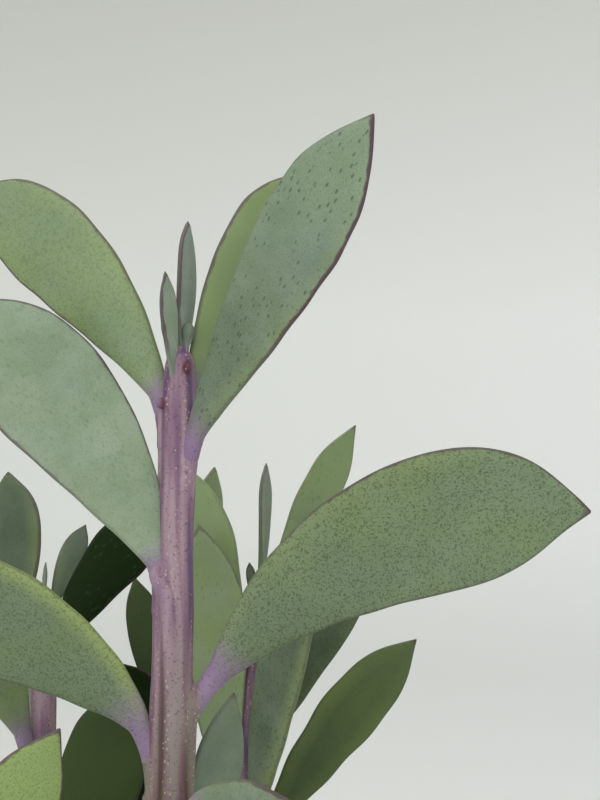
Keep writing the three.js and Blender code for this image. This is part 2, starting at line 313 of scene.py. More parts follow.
# How a leaf looks. Yellow, flecks, spots and bloom go from 0 to 1, and so does deep, the painted shade that
# darkens the leaf, at its base and its tip.
# Line is how strong the purple is on its upper and lower margins, and glow is how strong the painted light is
# inside them, a yellower and lighter band.
plainLook = {"yellow": 0.6, "flecks": 0.5, "spots": 0.3, "bloom": 0.2,
             "deep": (0.5, 0.4), "line": (0.5, 0.4), "glow": (0.35, 0.2)}
youngLook = {"yellow": 0.1, "flecks": 0.1, "spots": 0.1, "bloom": 0.6,
             "deep": (0.5, 0.4), "line": (0.6, 0.6), "glow": (0, 0)}
# the leaves behind, with deep near 1, are painted dark on both faces as painted shade
leafLooks = {
    "main_1": {"yellow": 0.55, "flecks": 0.95, "spots": 0.45, "bloom": 0.2,
               "deep": (0.48, 0.28), "line": (0.9, 0.4), "glow": (0.25, 0)},
    "main_2": {"yellow": 0.4, "flecks": 0.25, "spots": 0.25, "bloom": 0.9,
               "deep": (0.05, 0), "line": (0.9, 0.7), "glow": (0, 0.2)},
    "main_3": {"yellow": 0.5, "flecks": 0.75, "spots": 0.5, "bloom": 0.15,
               "deep": (0.36, 0.4), "line": (0.5, 0.3), "glow": (1, 0)},
    "main_4": {"yellow": 0.68, "flecks": 0.5, "spots": 0.1, "bloom": 0.3,
               "deep": (0.08, 0.28), "line": (0.8, 0.8), "glow": (0.3, 0.3)},
    "main_5": {"yellow": 0.25, "flecks": 0.45, "spots": 1, "bloom": 0.4,
               "deep": (0.72, 0), "line": (0.35, 1), "glow": (0.05, 0.35)},
    "main_6": {"yellow": 0.75, "flecks": 0.12, "spots": 0, "bloom": 0.15,
               "deep": (0.3, 0.2), "line": (0.9, 0.9), "glow": (0.2, 0.2)},
    "main_7": {"yellow": 0.1, "flecks": 0.1, "bloom": 0.7,
               "deep": (0.3, 0.1), "line": (0.9, 0.9), "glow": (0, 0)},
    "main_8": {"yellow": 0.1, "flecks": 0.1, "bloom": 0.95,
               "deep": (0.15, 0), "line": (0.9, 0.9), "glow": (0, 0)},
    "main_9": {"yellow": 0.35, "flecks": 0.4, "spots": 0.3, "bloom": 0.4,
               "deep": (0.4, 0.3), "line": (1, 0.4), "glow": (0.2, 0.1)},
    "main_10": {"yellow": 0.35, "flecks": 0.2, "bloom": 0.4,
                "deep": (0.5, 0.4), "line": (0.3, 0.3), "glow": (0, 0)},
    "right_back_1": {"yellow": 0.15, "bloom": 0.5, "deep": (0.6, 0.35)},
    "right_back_2": {"yellow": 0.6, "flecks": 0.1, "deep": (0.15, 0.1), "line": (0.3, 0.3)},
    "right_back_3": {"yellow": 0.95, "flecks": 0.1, "bloom": 0.4, "deep": (0.1, 0), "line": (0.3, 0.3)},
    "right_back_4": {"yellow": 0.5, "deep": (0.82, 0.78)},
    "right_back_5": {"yellow": 0.3, "flecks": 0.5, "spots": 0.7, "bloom": 0.4,
                     "deep": (0.6, 0.5), "glow": (0.1, 0.7)},
    "right_back_7": {"yellow": 0.85, "flecks": 0.2, "bloom": 0.05, "deep": (0.75, 0.68), "line": (0.3, 0.3)},
    "right_back_10": {"yellow": 0.85, "flecks": 0.1, "bloom": 0.6, "deep": (0, 0), "line": (0.7, 0.7)},
    "left_back_1": {"yellow": 0, "flecks": 0.1, "bloom": 0.35, "deep": (0.6, 0.35)},
    "left_back_2": {"yellow": 0.3, "flecks": 0.3, "deep": (0.7, 0.7)},
    "left_back_3": {"yellow": 0.8, "flecks": 0.1, "bloom": 0,
                    "deep": (1, 1), "line": (0.4, 0.4), "glow": (0, 0)},
    "left_back_7": {"yellow": 1, "flecks": 0.1, "bloom": 0, "deep": (0.85, 0.85), "glow": (0, 0)},
    "far_back_2": {"yellow": 0.7, "deep": (0.4, 0.4)},
    "far_back_3": {"yellow": 0.8, "flecks": 0.1, "bloom": 0, "deep": (0.8, 0.6), "glow": (0, 0)},
    "far_back_5": {"yellow": 1, "flecks": 0.1, "bloom": 0, "deep": (1, 1), "line": (1, 0.6), "glow": (0, 0)},
    "front_left_2": {"yellow": 1, "flecks": 0.6, "bloom": 0.05,
                     "deep": (0, 0), "line": (1, 1), "glow": (1, 1)},
}


def leafRow(row):
    return dict(zip(leafParts, row))


def leafSpread(leaf):
    return min(1, leaf["width"] / leafMake["fullWidth"])


def shapeLeaf(piece, shoot, leaf, look, seed, sides, rings):
    make = leafMake
    ring, place, endMiddle = ringPlaces(piece, sides, rings)
    draw = np.random.default_rng(seed)
    spread = leafSpread(leaf)
    line = midline(shoot, leaf)
    step = np.linspace(0, 1, rings + 1)
    step = 0.55 * step + 0.45 * (0.5 - 0.5 * np.cos(math.pi * step))
    first = make["hideUnder"] * leaf["stalk"]
    reach = first + (leaf["length"] - first) * step
    share = np.clip((reach - leaf["stalk"]) / (leaf["length"] - leaf["stalk"]), 0, 1)
    # half the height of the blade and of its stalk, with a fine prickle at the tip
    blade = smoothCurve(bladeOutline, share) * leaf["width"] / 2
    stalk = spread * make["stalkHeight"] / 2
    mix = smoothStep((reach - 0.55 * leaf["stalk"]) / (0.6 * leaf["stalk"]))
    half = stalk * (1 - mix) + np.maximum(blade, stalk * (1 - smoothStep(share / 0.12))) * mix
    fromTip = leaf["length"] - reach
    prickle = 0.28 - 0.16 * (1 - np.clip(fromTip / make["prickle"], 0, 1))
    half = np.maximum(half, np.where(fromTip < 4, prickle, 0))
    half = np.maximum(half, 0.12)
    half *= np.where(reach < first + 3, 0.8 + 0.2 * smoothStep((reach - first) / 3), 1)
    middleThick = spread * make["thickness"] / 2 * (1 - 0.5 * share)
    stalkThick = spread * make["stalkThickness"] / 2
    thick = stalkThick * (1 - mix) + middleThick * mix
    thick *= np.where(reach < first + 3, 0.8 + 0.2 * smoothStep((reach - first) / 3), 1)
    thick = np.minimum(thick, np.maximum(0.6 * half, 0.12) + 0.55 * smoothStep((half - 0.6) / 2))
    # the places round a ring, from one margin over a face to the other margin and back
    quarter = sides // 4
    fromMargin = np.minimum(place % (sides // 2), (sides // 2) - place % (sides // 2))
    face = np.where(place % (sides // 2) == 0, 0, np.where(place < sides // 2, 1, -1))
    nearFirst = (place <= quarter) | (place >= 3 * quarter)
    wide, deep = half[ring], thick[ring]
    roundOff = np.minimum(make["marginRound"], 0.5 * wide)
    inner = (fromMargin - 3) / (quarter - 3)
    inset = np.select([fromMargin == 0, fromMargin == 1, fromMargin == 2],
                      [0 * wide, 0.13 * roundOff, 0.48 * roundOff],
                      roundOff + (wide - roundOff) * np.clip(inner, 0, 1) ** 1.15)
    across = (wide - inset) * np.where(nearFirst, 1, -1)
    across[endMiddle] = 0
    ratio = 1 - inset / wide
    flat = 1 - ratio**2 * (1 - np.clip(0.42 / deep, 0.3, 1))
    flat *= np.sqrt(1 - (1 - np.clip(inset / roundOff, 0, 1)) ** 2)
    oval = np.sqrt(np.clip(1 - ratio**2, 0, 1))
    fleshy = smoothStep(share[ring] / 0.2)
    out = face * deep * (oval * (1 - fleshy) + flat * fleshy)
    out[endMiddle] = 0
    # a living leaf isn't true: it sways, cups, twists and ripples a little
    middle = share[ring]
    swell = np.sin(math.pi * middle)
    sway = draw.uniform(-make["sway"], make["sway"]) * swell * leaf["length"] / 70
    cup = draw.uniform(-make["cup"], make["cup"]) * swell * (across / wide) ** 2 * wide / 10
    twist = np.radians(draw.uniform(-make["twist"], make["twist"])) * smoothStep(middle)
    local = np.stack([across, reach[ring], 0 * across], axis=-1)
    sheet = ripple(local, *make["faceRipple"], seed + 1) * fleshy
    margin = ripple(local * [0, 1, 0], *make["marginRipple"], seed + 2) * fleshy
    margin *= (across / wide) * np.clip(wide / 3, 0, 1)
    centre = alongLine(line, "points", reach[ring])
    up = alongLine(line, "up", reach[ring])
    side = alongLine(line, "side", reach[ring])
    height = (across + margin) * np.cos(twist) - out * np.sin(twist)
    depth = (across + margin) * np.sin(twist) + out * np.cos(twist) + sway + cup + sheet
    movePoints(piece, (centre + up * height[:, None] + side * depth[:, None]) * mm)
    # what the skin's pattern follows
    atTip = smoothStep((middle - 0.94) / 0.06)
    rimDistance = np.where(endMiddle, 0, inset) * (1 - 0.65 * atTip)
    addVector(piece, "blade", np.stack([across, reach[ring], seed * 3.7 + face * 11.0], axis=-1))
    addValue(piece, "rim", rimDistance)
    addValue(piece, "fade", (reach[ring] - 0.85 * leaf["stalk"]) / (0.75 * leaf["stalk"]))
    addVector(piece, "look", np.tile([look["yellow"], look["flecks"], look["bloom"]], (len(ring), 1)))
    addValue(piece, "spots", np.full(len(ring), look["spots"]))
    # deep is painted shade: the leaf is painted darker, from its base to its tip, where it stands in shade
    addValue(piece, "deep", look["deep"][0] + (look["deep"][1] - look["deep"][0]) * middle)
    outer = 0.15 + 0.85 * smoothStep((middle - 0.05) / 0.45)
    addValue(piece, "line", np.maximum(np.where(across > 0, *look["line"]) * outer, 0.8 * atTip))
    # the painted light inside the margins fades towards the tip
    paintedLightFade = 1 - 0.7 * smoothStep((middle - 0.6) / 0.3)
    addValue(piece, "glow", np.where(across > 0, *look["glow"]) * paintedLightFade)
    pick(piece)
    bpy.ops.object.mode_set(mode="EDIT")
    bpy.ops.mesh.select_all(action="SELECT")
    bpy.ops.mesh.normals_make_consistent(inside=False)
    bpy.ops.object.mode_set(mode="OBJECT")
    bpy.ops.object.shade_smooth()


def finishPiece(piece, slotName, material, *nodes):
    piece.data.materials.clear()
    piece.data.materials.append(material)
    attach(piece, "root")
    if nodes:
        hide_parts(*nodes)


# Stalk skin: young senecio skin is wine-purple under pale wax, a soft lilac with a fine dark peppering.
def stalkColour(tree, place):
    cloud = addNode(tree, "TexNoise", {"Scale": 1000 / 5, "Detail": 3}, {"Vector": place}).outputs[0]
    pepper = addNode(tree, "TexNoise", {"Scale": 1000 / 0.55, "Detail": 2}, {"Vector": place}).outputs[0]
    base = addNode(tree, "Mix", {"data_type": "RGBA", 6: linear("#866c90"), 7: linear("#a18ca7")},
                   {0: cloud}).outputs[2]
    darker = addNode(tree, "MapRange", {"From Min": 0.56, "From Max": 0.72, "To Max": 0.55},
                     {"Value": pepper}).outputs[0]
    return addNode(tree, "Mix", {"data_type": "RGBA", 7: linear("#5b4257")}, {0: darker, 6: base}).outputs[2]


# Leaf skin: a thick waxy cuticle with a powdery bloom, so a matt grey-green with a faint broad sheen.
def waxyLeaf():
    material, tree, surface = newMaterial("waxyLeaf", 0.5, 1.45)
    place = addNode(tree, "TexCoord").outputs["Object"]
    blade = addNode(tree, "Attribute", {"attribute_name": "blade"}).outputs["Vector"]
    rim, fade, spotty, paintedShade, marginLine, paintedRimLight = (
        addNode(tree, "Attribute", {"attribute_name": name}).outputs["Fac"]
        for name in ("rim", "fade", "spots", "deep", "line", "glow"))
    look = addNode(tree, "Attribute", {"attribute_name": "look"}).outputs["Vector"]
    looks = addNode(tree, "SeparateXYZ", {}, {0: look}).outputs
    # broad drift between grey-green and yellow-green, about 18 mm across
    drift = addNode(tree, "TexNoise", {"Scale": 1 / 18, "Detail": 3}, {"Vector": blade}).outputs[0]
    shifted = addNode(tree, "MapRange", {"From Min": 0.3, "From Max": 0.7, "To Min": -0.22, "To Max": 0.22},
                      {"Value": drift}).outputs[0]
    yellow = addNode(tree, "Math", {"operation": "ADD", "use_clamp": True},
                     {0: looks[0], 1: shifted}).outputs[0]
    green = addNode(tree, "Mix", {"data_type": "RGBA", 6: linear("#75897a"), 7: linear("#91a964")},
                    {0: yellow}).outputs[2]
    # painted shade: the colour is multiplied down towards dark green by deep
    deep = addNode(tree, "Mix", {"data_type": "RGBA", "blend_type": "MULTIPLY", 7: linear("#324825")},
                   {0: paintedShade, 6: green}).outputs[2]
    # painted light: a lit band, yellower and lighter, over the last 3 mm before the margin
    nearRim = addNode(tree, "MapRange", {"From Min": 3.6, "From Max": 0.5}, {"Value": rim}).outputs[0]
    paintedRimLightAmount = addNode(tree, "Math", {"operation": "MULTIPLY"}, {0: nearRim, 1: paintedRimLight}).outputs[0]
    glow = addNode(tree, "Mix", {"data_type": "RGBA", 7: linear("#94a660")},
                   {0: paintedRimLightAmount, 6: deep}).outputs[2]
    # wax bloom in soft clouds, 7 mm across, rubbed thin in places
    cloud = addNode(tree, "TexNoise", {"Scale": 1 / 7, "Detail": 4, "Roughness": 0.6},
                    {"Vector": blade}).outputs[0]
    clouds = addNode(tree, "MapRange", {"From Min": 0.35, "From Max": 0.65, "To Min": 0.3, "To Max": 0.75},
                     {"Value": cloud}).outputs[0]
    bloom = addNode(tree, "Math", {"operation": "MULTIPLY"}, {0: clouds, 1: looks[2]}).outputs[0]
    waxed = addNode(tree, "Mix", {"data_type": "RGBA", 7: linear("#a9b8a6")}, {0: bloom, 6: glow}).outputs[2]
    # fine flecks where the wax is thin, 0.35 mm, and longer dark ones, up to 0.6 by 1.1 mm
    fine = addNode(tree, "TexNoise", {"Scale": 1 / 0.34, "Detail": 2, "Roughness": 0.6}, {"Vector": blade})
    fineMask = addNode(tree, "MapRange", {"From Min": 0.5, "From Max": 0.66},
                       {"Value": fine.outputs[0]}).outputs[0]
    fineCloud = addNode(tree, "Math", {"operation": "MULTIPLY"}, {0: fineMask, 1: looks[1]}).outputs[0]
    fineAmount = addNode(tree, "Math", {"operation": "MULTIPLY", 1: 0.7}, {0: fineCloud}).outputs[0]
    flecked = addNode(tree, "Mix", {"data_type": "RGBA", "blend_type": "MULTIPLY", 7: linear("#76836a")},
                      {0: fineAmount, 6: waxed}).outputs[2]
    stretch = addNode(tree, "Mapping", {"Scale": (1 / 0.95, 1 / 1.9, 1)}, {"Vector": blade}).outputs[0]
    spot = addNode(tree, "TexVoronoi", {"Scale": 1, "Randomness": 1}, {"Vector": stretch})
    patch = addNode(tree, "TexNoise", {"Scale": 1 / 6, "Detail": 1}, {"Vector": blade}).outputs[0]
    reachOf = addNode(tree, "MapRange", {"From Min": 0.26, "From Max": 0.52, "To Min": 0.0, "To Max": 0.3},
                      {"Value": patch}).outputs[0]
    inSpot = addNode(tree, "Math", {"operation": "SUBTRACT"},
                     {0: reachOf, 1: spot.outputs["Distance"]}).outputs[0]
    spotMask = addNode(tree, "MapRange", {"From Min": 0.0, "From Max": 0.12, "To Max": 0.7},
                       {"Value": inSpot}).outputs[0]
    spotAmount = addNode(tree, "Math", {"operation": "MULTIPLY"}, {0: spotMask, 1: spotty}).outputs[0]
    spotted = addNode(tree, "Mix", {"data_type": "RGBA", 7: linear("#43593f")},
                      {0: spotAmount, 6: flecked}).outputs[2]
    # purple-maroon line on the margin, about 0.5 mm, faint near the stalk
    waver = addNode(tree, "TexNoise", {"Scale": 1 / 2.2, "Detail": 3}, {"Vector": blade}).outputs[0]
    limit = addNode(tree, "MapRange", {"From Min": 0.3, "From Max": 0.7, "To Min": 0.32, "To Max": 0.66},
                    {"Value": waver}).outputs[0]
    inRim = addNode(tree, "Math", {"operation": "SUBTRACT"}, {0: limit, 1: rim}).outputs[0]
    rimMask = addNode(tree, "MapRange", {"From Min": -0.12, "From Max": 0.22, "To Max": 0.88},
                      {"Value": inRim}).outputs[0]
    rimAmount = addNode(tree, "Math", {"operation": "MULTIPLY"}, {0: rimMask, 1: marginLine}).outputs[0]
    rimmed = addNode(tree, "Mix", {"data_type": "RGBA", 7: linear("#523244")},
                     {0: rimAmount, 6: spotted}).outputs[2]
    # the stalk's purple breaks up into specks as it meets the blade
    grit = addNode(tree, "TexNoise", {"Scale": 1000 / 0.45, "Detail": 3, "Roughness": 0.7},
                   {"Vector": place}).outputs[0]
    lifted = addNode(tree, "MapRange", {"From Min": 0.25, "From Max": 0.75, "To Min": -0.45, "To Max": 0.45},
                     {"Value": grit}).outputs[0]
    edgeOfFade = addNode(tree, "Math", {"operation": "ADD"}, {0: fade, 1: lifted}).outputs[0]
    stalkMask = addNode(tree, "MapRange", {"From Min": 0.85, "From Max": 0.1},
                        {"Value": edgeOfFade}).outputs[0]
    colour = addNode(tree, "Mix", {"data_type": "RGBA"},
                     {0: stalkMask, 6: rimmed, 7: stalkColour(tree, place)}).outputs[2]
    tree.links.new(colour, surface.inputs["Base Color"])
    shine = addNode(tree, "MapRange", {"From Min": 0.2, "From Max": 0.8, "To Min": 0.42, "To Max": 0.62},
                    {"Value": cloud}).outputs[0]
    tree.links.new(shine, surface.inputs["Roughness"])
    # painted shade also weakens the leaf's specular: the more painted shade, the less it reflects
    gloss = addNode(tree, "MapRange", {"From Min": 0.4, "From Max": 1, "To Min": 0.5, "To Max": 0.15},
                    {"Value": paintedShade}).outputs[0]
    tree.links.new(gloss, surface.inputs["Specular IOR Level"])
    # shallow pits at the flecks, 0.06 mm, over a faint orange-peel
    peel = addNode(tree, "TexNoise", {"Scale": 1 / 1.6, "Detail": 3}, {"Vector": blade}).outputs[0]
    relief = addNode(tree, "Math", {"operation": "SUBTRACT"}, {0: peel, 1: fineAmount}).outputs[0]
    bump = addNode(tree, "Bump", {"Strength": 0.35, "Distance": 0.06 * mm}, {"Height": relief})
    tree.links.new(bump.outputs[0], surface.inputs["Normal"])
    return material


leafSkin = waxyLeaf()
leafBlank = makeBlank("leafBlank", leafMake["sides"], leafMake["rings"])
youngBlank = makeBlank("youngBlank", 16, 30)
leafCount = 0
for shootName, shoot in shoots.items():
    for i, row in enumerate(shoot["leaves"]):
        key = shootName + "_" + str(i + 1)
        leaf = leafRow(row)
        # a leaf without a listed look gets a random yellow, flecks and painted shade
        drift = {"yellow": rng.uniform(0.35, 0.85), "flecks": rng.uniform(0.2, 0.8),
                 "deep": (rng.uniform(0.35, 0.7), rng.uniform(0.2, 0.5))}
        look = {**plainLook, **leafLooks.get(key, drift)}
        piece = copyOf(leafBlank, "blade_" + key)
        leafCount += 1
        shapeLeaf(piece, shoot, leaf, look, 40 + leafCount, leafMake["sides"], leafMake["rings"])
        finishPiece(piece, "leaf", leafSkin, "leaf_" + key)
    # two unopened leaves round the growing tip
    for i, length in enumerate((11, 8)):
        bud = {"at": shoot["tip"][2] - 5 + 1.2 * i, "turn": shoot["budTurn"] + 137.5 * i, "length": length,
               "width": 2.6, "stalk": 3, "lean": 84, "curl": 0, "rise": 88}
        piece = copyOf(youngBlank, "young_" + shootName + "_" + str(i + 1))
        shapeLeaf(piece, shoot, bud, youngLook, 900 + leafCount + i, 16, 30)
        finishPiece(piece, "leaf", leafSkin)
print("leaves shaped:", leafCount)


# Stems: one skin over the stem, its leaf stalks' roots and the ridges that run down from them.
stemMake = {"voxel": {"main": 0.42}, "voxelElse": 0.55, "stalkShare": 0.86, "ridge": 24, "ridgeRise": 0.85,
            "ridgeHalf": 1.9, "soften": 5, "under": 20, "dome": 4, "swell": (0.05, 4.5), "budRadius": 0.8}
# A stalk whose foot laps over its stem: how far above it starts, how far it turns and how high it stands.
lips = {"main_2": (10, 60, 2.1)}
# Dark red resting buds in the stalks' corners, and old brown streaks: compass turn, half width and upper end.
restingBuds = {"main": ((4.0, -2.7, 292.8), (-0.9, -2.5, 286.4))}
streaks = {"main": ((250, 12, 250), (176, 16, 244), (318, 10, 236))}
streaksElse = ((250, 18, 190), (120, 20, 180))


def shapeStem(blank, name, shoot, sides, rings):
    piece = copyOf(blank, name)
    ring, place, endMiddle = ringPlaces(piece, sides, rings)
    top, low = shoot["tip"][2], soilTop - stemMake["under"]
    z = low + (top - low) * np.linspace(0, 1, rings + 1)
    # a dome closes the top, and the stem swells a little under each leaf
    dome = stemMake["dome"]
    domed = np.sqrt(np.clip(1 - np.clip((z - (top - dome)) / dome, 0, 1) ** 2, 0.002, 1))
    swell = np.ones(len(z))
    more, over = stemMake["swell"]
    for row in shoot["leaves"]:
        swell += more * np.exp(-((z - row[0]) / over) ** 2)
    radius = (stemRadius(shoot, z) * domed * swell)[ring]
    angle = place / sides * 2 * math.pi
    ribs = 1 + 0.025 * np.sin(5 * angle + z[ring] / 23) + 0.015 * np.sin(9 * angle - z[ring] / 31)
    reach = np.where(endMiddle, 0, radius * ribs)
    points = stemMiddle(shoot, z[ring])
    points[:, 0] += reach * np.cos(angle)
    points[:, 1] += reach * np.sin(angle)
    movePoints(piece, points * mm)
    return piece


def shapeStalkRoot(blank, name, shoot, leaf, sides, rings):
    piece = copyOf(blank, name)
    ring, place, endMiddle = ringPlaces(piece, sides, rings)
    line = midline(shoot, leaf)
    end = stemMake["stalkShare"] * leaf["stalk"]
    reach = end * np.linspace(0, 1, rings + 1)
    spread = leafSpread(leaf)
    # flared where it leaves the stem, drawn in at its end so that it slips under the leaf's own skin
    flare = 1 + 0.35 * np.exp(-reach / (0.25 * leaf["stalk"]))
    drawn = 1 - 0.3 * smoothStep((reach - 0.55 * leaf["stalk"]) / (0.3 * leaf["stalk"]))
    high = (spread * leafMake["stalkHeight"] / 2 * flare * drawn)[ring]
    wide = (spread * leafMake["stalkThickness"] / 2 * flare * drawn)[ring]
    angle = place / sides * 2 * math.pi
    upwards = np.where(endMiddle, 0, np.cos(angle) * high)
    sideways = np.where(endMiddle, 0, np.sin(angle) * wide)
    centre = alongLine(line, "points", reach[ring])
    points = centre + alongLine(line, "up", reach[ring]) * upwards[:, None]
    points += alongLine(line, "side", reach[ring]) * sideways[:, None]
    movePoints(piece, points * mm)
    return piece


def shapeRidge(blank, name, shoot, leaf, lip, sides, rings):
    # the leaf's foot runs on down the stem as a low ridge that dies away
    above, wrap, ridgeRise = lip
    piece = copyOf(blank, name)
    ring, place, endMiddle = ringPlaces(piece, sides, rings)
    t = np.linspace(0, 1, rings + 1)
    z = leaf["at"] + above - (stemMake["ridge"] + above) * t
    turn = np.radians(leaf["turn"] + wrap * smoothStep(t / 0.28))
    out = np.stack([np.cos(turn), np.sin(turn), 0 * turn], axis=-1)
    sideways = np.stack([-out[:, 1], out[:, 0], 0 * turn], axis=-1)[ring]
    start = smoothStep(0.4 + t / 0.2) if wrap else 1
    rise = leafSpread(leaf) * ridgeRise * (1 - t) ** 1.2 * start
    half = (leafSpread(leaf) * stemMake["ridgeHalf"] * (1 - 0.55 * t) * start)[ring]
    deep = 1.4
    angle = place / sides * 2 * math.pi
    centre = stemMiddle(shoot, z) + out * (stemRadius(shoot, z) + rise - deep)[:, None]
    points = centre[ring] + out[ring] * np.where(endMiddle, 0, np.cos(angle) * deep)[:, None]
    points += sideways * np.where(endMiddle, 0, np.sin(angle) * half)[:, None]
    movePoints(piece, points * mm)
    return piece


# Stem skin: the same cuticle, wine-pink under wax, with rows of cream pores, browner and greener with age.
def waxyStem():
    material, tree, surface = newMaterial("waxyStem", 0.5, 1.45)
    place = addNode(tree, "TexCoord").outputs["Object"]
    stalk, age, bud, bark = (addNode(tree, "Attribute", {"attribute_name": name}).outputs["Fac"]
                             for name in ("stalk", "age", "bud", "bark"))
    # streaks run along the stem, about 2.4 mm wide and fourteen times as long
    drawnOut = addNode(tree, "Mapping", {"Scale": (1, 1, 0.07)}, {"Vector": place}).outputs[0]
    streak = addNode(tree, "TexNoise", {"Scale": 1000 / 2.4, "Detail": 2, "Roughness": 0.5},
                     {"Vector": drawnOut}).outputs[0]
    young = addNode(tree, "ValToRGB", {}, {0: streak})
    ramp = young.color_ramp
    ramp.elements[0].position, ramp.elements[0].color = 0.36, linear("#664a70")
    ramp.elements[1].position, ramp.elements[1].color = 0.62, linear("#a88f9a")
    ramp.elements.new(0.49).color = linear("#8d6e82")
    old = addNode(tree, "ValToRGB", {}, {0: streak})
    ramp = old.color_ramp
    ramp.elements[0].position, ramp.elements[0].color = 0.38, linear("#46301d")
    ramp.elements[1].position, ramp.elements[1].color = 0.63, linear("#6f7d5f")
    ramp.elements.new(0.46).color = linear("#785c5e")
    ramp.elements.new(0.54).color = linear("#826e66")
    blotch = addNode(tree, "TexNoise", {"Scale": 1000 / 12, "Detail": 3}, {"Vector": drawnOut}).outputs[0]
    moved = addNode(tree, "MapRange", {"From Min": 0.3, "From Max": 0.7, "To Min": -0.18, "To Max": 0.18},
                    {"Value": blotch}).outputs[0]
    aged = addNode(tree, "Math", {"operation": "ADD"}, {0: age, 1: moved}).outputs[0]
    ageMask = addNode(tree, "MapRange", {"From Min": 0.4, "From Max": 0.82}, {"Value": aged}).outputs[0]
    skin = addNode(tree, "Mix", {"data_type": "RGBA"},
                   {0: ageMask, 6: young.outputs[0], 7: old.outputs[0]}).outputs[2]
    # woody at the soil
    wood = addNode(tree, "MapRange", {"From Min": 1.1, "From Max": 1.6, "To Max": 0.85},
                   {"Value": aged}).outputs[0]
    barked = addNode(tree, "Mix", {"data_type": "RGBA", 7: linear("#7a6a55")}, {0: wood, 6: skin}).outputs[2]
    # dark peppering, 0.5 mm
    pepper = addNode(tree, "TexNoise", {"Scale": 1000 / 0.5, "Detail": 2}, {"Vector": place}).outputs[0]
    darker = addNode(tree, "MapRange", {"From Min": 0.58, "From Max": 0.7, "To Max": 0.65},
                     {"Value": pepper}).outputs[0]
    peppered = addNode(tree, "Mix", {"data_type": "RGBA", 7: linear("#573f50")},
                       {0: darker, 6: barked}).outputs[2]
    # brown streaks where the skin has split and healed, broken up along their length
    breaks = addNode(tree, "MapRange", {"From Min": 0.28, "From Max": 0.5}, {"Value": streak}).outputs[0]
    brown = addNode(tree, "Math", {"operation": "MULTIPLY"}, {0: breaks, 1: bark}).outputs[0]
    streaked = addNode(tree, "Mix", {"data_type": "RGBA", 7: linear("#46311f")},
                       {0: brown, 6: peppered}).outputs[2]
    # small dark red buds
    budded = addNode(tree, "Mix", {"data_type": "RGBA", 7: linear("#55151f")},
                     {0: bud, 6: streaked}).outputs[2]
    # cream pores, 0.4 mm, in rows along the streaks
    rows = addNode(tree, "Mapping", {"Scale": (1, 1, 0.75)}, {"Vector": place}).outputs[0]
    pore = addNode(tree, "TexVoronoi", {"Scale": 1000 / 0.72, "Randomness": 0.9},
                   {"Vector": rows}).outputs["Distance"]
    band = addNode(tree, "TexNoise", {"Scale": 1000 / 1.6, "Detail": 0}, {"Vector": drawnOut}).outputs[0]
    poreSize = addNode(tree, "MapRange", {"From Min": 0.4, "From Max": 0.6, "To Min": 0.03, "To Max": 0.3},
                       {"Value": band}).outputs[0]
    inPore = addNode(tree, "Math", {"operation": "SUBTRACT"}, {0: poreSize, 1: pore}).outputs[0]
    poreMask = addNode(tree, "MapRange", {"From Min": 0.0, "From Max": 0.12, "To Max": 0.6},
                       {"Value": inPore}).outputs[0]
    dotted = addNode(tree, "Mix", {"data_type": "RGBA", 7: linear("#cdb9a4")},
                     {0: poreMask, 6: budded}).outputs[2]
    colour = addNode(tree, "Mix", {"data_type": "RGBA"},
                     {0: stalk, 6: dotted, 7: stalkColour(tree, place)}).outputs[2]
    tree.links.new(colour, surface.inputs["Base Color"])
    relief = addNode(tree, "Math", {"operation": "ADD"}, {0: streak, 1: poreMask}).outputs[0]
    bump = addNode(tree, "Bump", {"Strength": 0.4, "Distance": 0.12 * mm}, {"Height": relief})
    tree.links.new(bump.outputs[0], surface.inputs["Normal"])
    return material


